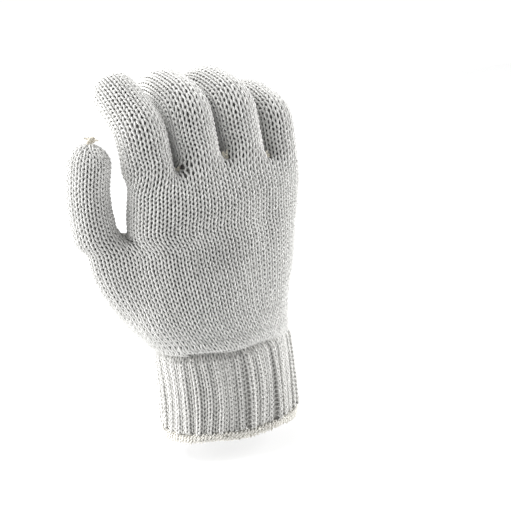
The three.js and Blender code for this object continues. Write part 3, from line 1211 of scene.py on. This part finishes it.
@dataclass
class Overlock:
    """The hem: thick thread sewn over and over the cuff's edge, with loopers' chains along it."""

    form: HandForm
    finish: "YarnFinish"
    turns: int = 112
    points_a_turn: int = 12
    chain_points: int = 10
    core_points: int = 200
    thread: float = 0.52
    chain_thread: float = 0.8
    half_height: float = 2.2
    half_depth: float = 1.35
    core: float = 0.95
    sway: float = 0.45
    sway_waves: range = range(3, 12)
    lift: float = 0.3
    lift_waves: range = range(2, 9)
    slope: float = 0.35
    uneven_place: float = 0.25
    uneven_height: float = 0.09
    uneven_depth: float = 0.12
    uneven_lift: float = 0.15
    uneven_thread: float = 0.08
    chain_uneven: float = 0.3
    chain_slope: float = 0.15
    chain_drift: float = 0.4
    chain_stand: float = 0.35
    chain_swing: float = 0.3
    seed: int = 11

    def middle(self, turn: Array) -> tuple:
        """The hem's middle line.

        Args:
            turn: The angles round it.

        Returns:
            Its points and the outward directions there.
        """
        low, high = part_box("overlock_hem")
        half_width = (high.x - low.x) / METRES / 2 - self.half_depth - self.thread
        half_depth = (high.y - low.y) / METRES / 2 - self.half_depth - self.thread
        height = (low.z + high.z) / METRES / 2
        chance = np.random.default_rng(self.seed)
        sway = noise_wave(turn, chance, self.sway_waves, self.sway)
        lift = noise_wave(turn, chance, self.lift_waves, self.lift)
        c, s = np.cos(turn), np.sin(turn)
        out = unit(np.stack([c / half_width, s / half_depth, np.zeros_like(turn)], axis=1))
        line = np.stack([half_width * c, half_depth * s, height + lift], axis=1)
        return line + sway[:, None] * out, out

    def build(self) -> bpy.types.Object:
        """Builds the hem.

        Returns:
            The object.
        """
        yarn = YarnMesh()
        self.add_core(yarn)
        self.add_coil(yarn)
        for chain in CHAINS:
            self.add_chain(yarn, chain)
        piece = yarn.build("overlock_thread", self.finish)
        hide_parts("overlock_hem")
        return piece

    def add_core(self, yarn: YarnMesh) -> None:
        """Adds the edge of the cuff that the thread holds, as packed strands.

        Args:
            yarn: Where it's added.
        """
        line, out = self.middle(turns_of(self.core_points))
        for up, aside in CORE_STRANDS:
            yarn.add(line + aside * out + up * UP, out, np.full(self.core_points, self.core))

    def add_coil(self, yarn: YarnMesh) -> None:
        """Adds the thread that is wound over the edge.

        Args:
            yarn: Where it's added.
        """
        count = self.turns * self.points_a_turn
        place = np.arange(count) / count * self.turns
        wander = Wander(np.random.default_rng(self.seed + 1), place, self.turns)
        swing = TURN * place
        sway = self.slope * np.sin(swing) + wander.draw(self.uneven_place)
        line, out = self.middle(TURN * (place + sway) / self.turns)
        tall = self.half_height * (1 + wander.draw(self.uneven_height))
        deep = self.half_depth * (1 + wander.draw(self.uneven_depth))
        up = np.sin(swing) * tall + wander.draw(self.uneven_lift)
        line = line + (np.cos(swing) * deep)[:, None] * out + up[:, None] * UP
        normal = np.cos(swing)[:, None] * out + np.sin(swing)[:, None] * UP
        yarn.add(line, normal, self.thread * (1 + wander.draw(self.uneven_thread)))

    def add_chain(self, yarn: YarnMesh, chain: Chain) -> None:
        """Adds a looper's thread that winds along the hem.

        Args:
            yarn: Where it's added.
            chain: The thread.
        """
        count = self.turns * self.chain_points
        place = np.arange(count) / count * self.turns
        swing = TURN * place
        wander = Wander(np.random.default_rng([self.seed, chain.seed]), place, self.turns)
        drift = wander.draw(self.chain_uneven)
        sway = self.chain_slope * np.sin(2 * swing) + self.chain_drift * drift
        line, out = self.middle(TURN * (place + sway) / self.turns)
        up = self.half_height * (chain.height + chain.reach * (np.sin(swing) + drift))
        aside = self.half_depth * chain.out + self.chain_stand + self.chain_swing * np.cos(swing)
        line = line + aside[:, None] * out + up[:, None] * UP
        yarn.add(line, out, np.full(count, self.thread * self.chain_thread))


@dataclass
class TipKnot:
    """The knot that closes a fingertip, with its two cut ends."""

    name: str
    finish: "YarnFinish"
    thread: float = 0.72
    points: int = 70
    height: float = 1.6
    filling: float = 0.92
    most_lean: float = 0.5
    pattern_way: tuple = (0.3, 0.2, 1.0)
    tail: float = 4.2
    tail_points: int = 12
    tail_back: tuple = (-0.8, 0.3)
    tail_up: tuple = (-0.1, 0.8)
    tail_sag: tuple = (0.3, 1.2)
    tail_thread: float = 0.85
    tail_taper: float = 0.3
    tail_pattern_way: tuple = (0.0, 1.0, 0.3)
    seed: int = 3

    def build(self) -> bpy.types.Object:
        """Builds the knot in its model's place.

        Returns:
            The object.
        """
        low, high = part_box(self.name)
        centre = np.array((low + high) / 2) / METRES
        half = np.array((high - low) / 2) / METRES - self.thread
        chance = np.random.default_rng([self.seed, *self.name.encode()])
        turn = turns_of(self.points)
        radius = 2 + np.cos(3 * turn)
        rounds = [radius * np.cos(2 * turn), radius * np.sin(2 * turn), self.height * np.sin(3 * turn)]
        line = np.stack(rounds, axis=1)
        line /= np.abs(line).max(axis=0)
        spin = Matrix.Rotation(chance.uniform(0, math.pi), 3, "Z")
        lean = Matrix.Rotation(chance.uniform(-self.most_lean, self.most_lean), 3, "X")
        line = line @ np.array(spin @ lean).T * half * self.filling + centre
        yarn = YarnMesh(sides=6)
        yarn.add(line, np.tile(self.pattern_way, (self.points, 1)), np.full(self.points, self.thread))
        for side in (-1, 1):
            self.add_tail(yarn, centre, side, chance)
        piece = yarn.build(f"{self.name}_thread", self.finish)
        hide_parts(self.name)
        return piece

    def add_tail(self, yarn: YarnMesh, centre: Array, side: int, chance: np.random.Generator) -> None:
        """Adds a cut end that lies over the knot.

        Args:
            yarn: Where it's added.
            centre: The knot's middle.
            side: Which way it goes, -1 or 1.
            chance: Where its lie comes from.
        """
        share = np.linspace(0, 1, self.tail_points)
        way = unit(np.array([side, chance.uniform(*self.tail_back), chance.uniform(*self.tail_up)]))
        sag = -chance.uniform(*self.tail_sag) * UP
        line = centre + self.tail * share[:, None] * way + (share**2)[:, None] * sag
        radius = self.thread * (self.tail_thread - self.tail_taper * share)
        yarn.add(line, np.tile(self.tail_pattern_way, (self.tail_points, 1)), radius, closed=False)


@dataclass
class CrotchYarns:
    """The ends of yarn that were drawn in where the fingers part."""

    panels: dict
    finish: "YarnFinish"
    strands: int = 6
    strand_points: int = 11
    thread: float = 0.5
    taper: float = 0.3
    reach: float = 2.6
    bow: float = 1.1
    stand: float = 1.7
    curl: float = 0.5
    curl_turn: float = 3.0
    scatter: tuple = ((-1.2, 1.2), (-0.8, 1.2), (-2.4, 0.6))
    seed: int = 17

    def build(self) -> bpy.types.Object:
        """Builds the yarn ends at the three crotches.

        Returns:
            The object.
        """
        yarn = YarnMesh()
        chance = np.random.default_rng(self.seed)
        for first, wale, _, second, other in CROTCHES:
            if first == "thumb":
                continue
            centre = (self.panels[first].points[0, wale] + self.panels[second].points[0, other]) / 2
            for _ in range(self.strands):
                self.add_strand(yarn, centre, chance)
        return yarn.build("crotch_yarns", self.finish)

    def add_strand(self, yarn: YarnMesh, centre: Array, chance: np.random.Generator) -> None:
        """Adds one end of yarn, bowed outward.

        Args:
            yarn: Where it's added.
            centre: The middle of the crotch on the back of the glove.
            chance: Where its lie comes from.
        """
        share = np.linspace(-1, 1, self.strand_points)[:, None]
        lean = chance.uniform(0, math.pi)
        way = np.array([math.cos(lean), 0.0, math.sin(lean)])
        aside = np.array([-math.sin(lean), 0.0, math.cos(lean)])
        away = np.array([0.0, -1.0, 0.0])
        shift = np.array([chance.uniform(*span) for span in self.scatter])
        line = centre + shift + self.reach * share * way + (self.stand + self.bow * (1 - share**2)) * away
        line = line + self.curl * np.sin(self.curl_turn * share) * aside
        radius = self.thread * (1 - self.taper * share[:, 0] ** 2)
        yarn.add(line, np.tile(away, (len(line), 1)), radius, closed=False)


@dataclass
class Nodes:
    """A material's nodes, added one by one."""

    tree: bpy.types.NodeTree

    def add(self, kind: str, **values: object) -> bpy.types.Node:
        """Adds a node.

        Args:
            kind: Its kind.
            **values: Properties to set on it.

        Returns:
            The node.
        """
        made = self.tree.nodes.new(kind)
        for key, value in values.items():
            setattr(made, key, value)
        return made

    def put(self, socket: bpy.types.NodeSocket, value: object) -> None:
        """Gives an input its value.

        Args:
            socket: The input.
            value: The value, or the output that gives it.
        """
        if isinstance(value, bpy.types.NodeSocket):
            self.tree.links.new(value, socket)
        else:
            socket.default_value = value

    def maths(self, operation: str, a: object, b: object = 0) -> bpy.types.NodeSocket:
        """Adds a sum.

        Args:
            operation: What it does.
            a: Its first number, or the output that gives it.
            b: Its second number, or the output that gives it.

        Returns:
            Its outcome.
        """
        made = self.add("ShaderNodeMath", operation=operation)
        self.put(made.inputs[0], a)
        self.put(made.inputs[1], b)
        return made.outputs[0]

    def noise(self, scale: float, detail: float, place: bpy.types.NodeSocket) -> bpy.types.NodeSocket:
        """Adds a noise.

        Args:
            scale: Its scale, in waves a metre.
            detail: How many finer noises are in it.
            place: The output that says where it's read.

        Returns:
            Its value.
        """
        made = self.add("ShaderNodeTexNoise")
        self.put(made.inputs["Scale"], scale)
        self.put(made.inputs["Detail"], detail)
        self.put(made.inputs["Vector"], place)
        return made.outputs["Fac"]

    def blend(self, share: object, first: object, second: object) -> bpy.types.NodeSocket:
        """Adds a blend of two colours.

        Args:
            share: How much of the second one there is.
            first: The first colour, or the output that gives it.
            second: The second colour.

        Returns:
            The colour.
        """
        made = self.add("ShaderNodeMix", data_type="RGBA", clamp_factor=True)
        self.put(made.inputs["Factor"], share)
        self.put(made.inputs["A"], first)
        self.put(made.inputs["B"], second)
        return made.outputs["Result"]


@dataclass(frozen=True)
class YarnFinish:
    """Soft spun cotton: its colour, its twist and its fuzz."""

    name: str
    slot: Slot
    colour: tuple
    shade: tuple
    tint: tuple = (0.0, 0.0, 0.0)
    tint_share: float = 0.0
    tint_contrast: float = 4.0
    plies: int = 3
    pitch: float = 5.5
    twist_height: float = 0.16
    fibre_height: float = 0.1
    fibre_scale: float = 2600
    lump_scale: float = 420
    patch_scale: float = 170
    groove_shade: float = 0.5
    lump_shade: float = 0.9
    bump: float = 0.8
    roughness: float = 0.92
    specular: float = 0.25
    sheen: float = 0.35
    sheen_roughness: float = 0.6

    def material(self) -> bpy.types.Material:
        """The finish's material, made when it's first asked for."""
        made = bpy.data.materials.get(self.name)
        return made if made else self.make()

    def make(self) -> bpy.types.Material:
        """Makes the material.

        Returns:
            The material.
        """
        material = bpy.data.materials.new(self.name)
        material.use_nodes = True
        nodes = Nodes(material.node_tree)
        shader = material.node_tree.nodes["Principled BSDF"].inputs
        shader["Roughness"].default_value = self.roughness
        shader["Specular IOR Level"].default_value = self.specular
        shader["Sheen Weight"].default_value = self.sheen
        shader["Sheen Roughness"].default_value = self.sheen_roughness
        shader["Sheen Tint"].default_value = (*self.colour, 1)
        place = nodes.add("ShaderNodeTexCoord").outputs["Object"]
        wave = self.twist(nodes)
        nodes.put(shader["Normal"], self.fuzz(nodes, wave, place))
        nodes.put(shader["Base Color"], self.dye(nodes, wave, place))
        return material

    def twist(self, nodes: Nodes) -> bpy.types.NodeSocket:
        """Adds the twisted plies, from 0 in the grooves to 1 on their backs.

        Args:
            nodes: The material's nodes.

        Returns:
            The height's output.
        """
        split = nodes.add("ShaderNodeSeparateXYZ")
        nodes.put(split.inputs[0], nodes.add("ShaderNodeUVMap", uv_map=UV_NAME).outputs["UV"])
        along = nodes.maths("MULTIPLY", split.outputs[0], 1 / self.pitch)
        around = nodes.maths("MULTIPLY", split.outputs[1], self.plies)
        turns = nodes.maths("ADD", along, around)
        return nodes.maths("ABSOLUTE", nodes.maths("SINE", nodes.maths("MULTIPLY", turns, math.pi)))

    def fuzz(
        self, nodes: Nodes, wave: bpy.types.NodeSocket, place: bpy.types.NodeSocket
    ) -> bpy.types.NodeSocket:
        """Adds the bump of the plies and of the loose fibres.

        Args:
            nodes: The material's nodes.
            wave: The plies' height.
            place: The place on the glove.

        Returns:
            The bumped normal's output.
        """
        fibres = nodes.noise(self.fibre_scale, 3, place)
        plies = nodes.maths("MULTIPLY", wave, self.twist_height)
        height = nodes.maths("ADD", plies, nodes.maths("MULTIPLY", fibres, self.fibre_height))
        bump = nodes.add("ShaderNodeBump")
        nodes.put(bump.inputs["Strength"], self.bump)
        nodes.put(bump.inputs["Distance"], METRES)
        nodes.put(bump.inputs["Height"], height)
        return bump.outputs["Normal"]

    def dye(
        self, nodes: Nodes, wave: bpy.types.NodeSocket, place: bpy.types.NodeSocket
    ) -> bpy.types.NodeSocket:
        """Adds the colour, with painted shade in the ply grooves, darker lumps at random and patches of the
        tint if it has one.

        Args:
            nodes: The material's nodes.
            wave: The plies' height.
            place: The place on the glove.

        Returns:
            The colour's output.
        """
        lumps = nodes.maths("SUBTRACT", nodes.noise(self.lump_scale, 2, place), 0.5)
        # Painted shade: the colour darkens in the grooves between the plies
        grooves = nodes.maths("MULTIPLY", nodes.maths("SUBTRACT", 1, wave), self.groove_shade)
        dark = nodes.maths("ADD", grooves, nodes.maths("MULTIPLY", lumps, self.lump_shade))
        colour = nodes.blend(dark, (*self.colour, 1), (*self.shade, 1))
        if self.tint_share > 0:
            patch = nodes.maths("SUBTRACT", nodes.noise(self.patch_scale, 2, place), 0.5)
            amount = nodes.maths("MULTIPLY", patch, self.tint_contrast * self.tint_share)
            colour = nodes.blend(amount, colour, (*self.tint, 1))
        return colour


COTTON = YarnFinish("cotton_yarn", Slot.KNIT, (0.76, 0.757, 0.74), (0.44, 0.437, 0.42))
RIB_COTTON = YarnFinish("rib_cotton", Slot.RIB, (0.76, 0.755, 0.735), (0.42, 0.415, 0.395))
# Dark finishes of the sheets behind the loops: painted shade seen through the holes of the knit, lighter in
# the cuff
SHADE_BACKING = YarnFinish("matted_cotton", Slot.KNIT, (0.15, 0.148, 0.144), (0.09, 0.088, 0.085))
RIB_SHADE_BACKING = YarnFinish("matted_rib", Slot.RIB, (0.4, 0.395, 0.38), (0.25, 0.245, 0.235))
OVERLOCK_THREAD = YarnFinish(
    "overlock_thread",
    Slot.OVERLOCK,
    colour=(0.9, 0.885, 0.835),
    shade=(0.7, 0.675, 0.615),
    tint=(0.78, 0.66, 0.58),
    tint_share=0.12,
    pitch=4,
)
TIP_THREAD = YarnFinish(
    "tip_thread",
    Slot.TIP_YARN,
    colour=(0.84, 0.8, 0.7),
    shade=(0.6, 0.54, 0.44),
    tint=(0.66, 0.5, 0.38),
    tint_share=0.25,
    pitch=4,
)


@dataclass
class Knitting:
    """The whole glove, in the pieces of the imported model."""

    form: HandForm
    knitter: Knitter = field(default_factory=Knitter)

    def build(self) -> list:
        """Builds the glove.

        Returns:
            Its pieces.
        """
        panels = GloveMap(self.form).panels
        half = HAND_COURSES // 2
        rows = (
            ("cuff_knit", "cuff", range(CUFF_COURSES), RIB_COTTON, "rib_cuff", Rib(CUFF_COURSES)),
            ("heel_knit", "hand", range(half), COTTON, "palm", Fold()),
            ("palm_knit", "hand", range(half, HAND_COURSES), COTTON),
            ("knuckle_knit", "knuckles", range(KNUCKLE_COURSES), COTTON),
        )
        pieces = [self.piece(name, panels[panel], *rest) for name, panel, *rest in rows]
        for name, courses in STALL_COURSES.items():
            node = name if name == "thumb" else f"{name}_finger"
            pieces.append(self.piece(f"{name}_knit", panels[name], range(courses), COTTON, node))
            pieces.append(TipKnot(f"{name}_knot", TIP_THREAD).build())
        pieces.append(CrotchYarns(panels, TIP_THREAD).build())
        pieces.append(Overlock(self.form, OVERLOCK_THREAD).build())
        return pieces

    def piece(
        self,
        name: str,
        panel: Panel,
        courses: range,
        finish: YarnFinish,
        node: str = "",
        relief: Relief | None = None,
    ) -> bpy.types.Object:
        """Knits one piece.

        Args:
            name: Its name.
            panel: Its panel.
            courses: Its courses.
            finish: Its finish.
            node: The model's node that it stands for, if any.
            relief: How its cloth stands out and leans, if it does.

        Returns:
            The object.
        """
        piece = self.knitter.knit(panel, courses, relief).build(name, finish)
        if node:
            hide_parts(node)
        return piece


@dataclass(frozen=True)
class Lamp:
    """A square soft lamp, so many degrees round from the camera. Its sizes are in metres."""

    name: str
    degrees: float
    height: float
    distance: float
    size: float
    power: float


LAMPS = (
    Lamp("high_left_box", -90, 1.2, 0.7, 0.8, 20),
    Lamp("left_box", -88, 0.35, 1.2, 0.8, 15),
    Lamp("right_box", 105, 0.35, 1.2, 0.8, 19),
)


@dataclass
class Studio:
    """A white sweep under soft light, and the camera. Sizes are in metres.

    The room is brightest at its horizon. Above that it falls off, to behind on the glove's far side and to
    front on the camera's side.
    """

    target: Vector = field(default_factory=lambda: Vector((0, 0, 0.1)))
    azimuth: float = -28.0
    elevation: float = 13.0
    roll: float = 6.0
    distance: float = 0.9
    lens: float = 115.3
    sensor: float = 36.0
    centre_right: float = 0.026
    centre_up: float = -0.0038
    floor_height: float = -0.012
    floor_size: float = 2.2
    floor_white: float = 0.4
    floor_light: float = 0.72
    floor_roughness: float = 0.9
    floor_specular: float = 0.1
    horizon: float = 1.05
    horizon_until: float = 0.06
    sky_from: float = 0.25
    behind: float = 0.42
    front: float = 0.03
    behind_until: float = 0.2
    front_from: float = 0.75

    def build(self) -> None:
        """Builds the sweep, the lights and the camera."""
        bpy.context.scene.view_settings.view_transform = "Standard"
        self.add_floor()
        self.add_room()
        self.add_lamps()
        self.add_camera()

    def add_floor(self) -> None:
        """Adds the white floor."""
        bpy.ops.mesh.primitive_plane_add(size=self.floor_size, location=(0, 0, self.floor_height))
        floor = bpy.context.object
        floor.name = "white_floor"
        material = bpy.data.materials.new("white_floor")
        material.use_nodes = True
        shader = material.node_tree.nodes["Principled BSDF"].inputs
        shader["Base Color"].default_value = (self.floor_white, self.floor_white, self.floor_white, 1)
        shader["Roughness"].default_value = self.floor_roughness
        shader["Specular IOR Level"].default_value = self.floor_specular
        shader["Emission Color"].default_value = WHITE
        shader["Emission Strength"].default_value = self.floor_light
        floor.data.materials.append(material)

    def facing(self) -> Vector:
        """The level direction from the glove to the camera."""
        azimuth = math.radians(self.azimuth)
        return Vector((math.sin(azimuth), -math.cos(azimuth), 0))

    def add_room(self) -> None:
        """Adds the room, which is white behind the glove and dim before it."""
        world = bpy.data.worlds.new("white_room")
        bpy.context.scene.world = world
        world.use_nodes = True
        nodes = Nodes(world.node_tree)
        background = world.node_tree.nodes["Background"]
        way = nodes.add("ShaderNodeTexCoord").outputs["Generated"]
        split = nodes.add("ShaderNodeSeparateXYZ")
        nodes.put(split.inputs[0], way)
        toward = nodes.add("ShaderNodeVectorMath", operation="DOT_PRODUCT")
        nodes.put(toward.inputs[0], way)
        nodes.put(toward.inputs[1], self.facing())
        places = (self.behind_until, self.front_from)
        sky = self.fall(nodes, toward.outputs["Value"], places, (self.behind, self.front))
        places = (self.horizon_until, self.sky_from)
        light = self.fall(nodes, split.outputs["Z"], places, (self.horizon, sky))
        nodes.put(background.inputs["Color"], WHITE)
        nodes.put(background.inputs["Strength"], light)

    def fall(self, nodes: Nodes, read: object, places: tuple, values: tuple) -> bpy.types.NodeSocket:
        """Adds a smooth change from one value to another.

        Args:
            nodes: Where it's added.
            read: The output that it follows.
            places: Where the change starts and ends.
            values: The values before and after it.

        Returns:
            The value's output.
        """
        made = nodes.add("ShaderNodeMapRange", interpolation_type="SMOOTHSTEP")
        nodes.put(made.inputs["Value"], read)
        for name, value in zip(("From Min", "From Max", "To Min", "To Max"), (*places, *values)):
            nodes.put(made.inputs[name], value)
        return made.outputs["Result"]

    def add_lamps(self) -> None:
        """Adds the lamps, each turned to the glove."""
        for row in LAMPS:
            away = Matrix.Rotation(math.radians(row.degrees), 3, "Z") @ self.facing()
            place = away * row.distance + Vector((0, 0, row.height))
            bpy.ops.object.light_add(type="AREA", location=place)
            lamp = bpy.context.object
            lamp.name = row.name
            lamp.data.shape = "SQUARE"
            lamp.data.size = row.size
            lamp.data.energy = row.power
            lamp.rotation_euler = (self.target - place).to_track_quat("-Z", "Y").to_euler()

    def add_camera(self) -> None:
        """Adds the camera where the picture was taken from."""
        elevation = math.radians(self.elevation)
        back = self.facing() * math.cos(elevation) + Vector((0, 0, math.sin(elevation)))
        right = Vector((-self.facing().y, self.facing().x, 0))
        up = back.cross(right)
        roll = math.radians(self.roll)
        tilted_right = right * math.cos(roll) - up * math.sin(roll)
        tilted_up = right * math.sin(roll) + up * math.cos(roll)
        look = (back - tilted_right * self.centre_right - tilted_up * self.centre_up).normalized()
        side = tilted_up.cross(look).normalized()
        top = look.cross(side)
        data = bpy.data.cameras.new("camera")
        data.lens = self.lens
        data.sensor_width = self.sensor
        camera = bpy.data.objects.new("camera", data)
        bpy.context.collection.objects.link(camera)
        turn = Matrix((side, top, look)).transposed().to_4x4()
        camera.matrix_world = Matrix.Translation(self.target + back * self.distance) @ turn
        bpy.context.scene.camera = camera


def main() -> None:
    """Builds the scene."""
    logging.basicConfig(level=logging.INFO, format="%(name)s: %(message)s")
    pieces = Knitting(HandForm()).build()
    log.info("%d pieces", len(pieces))
    Studio().build()


if __name__ == "__main__":
    main()
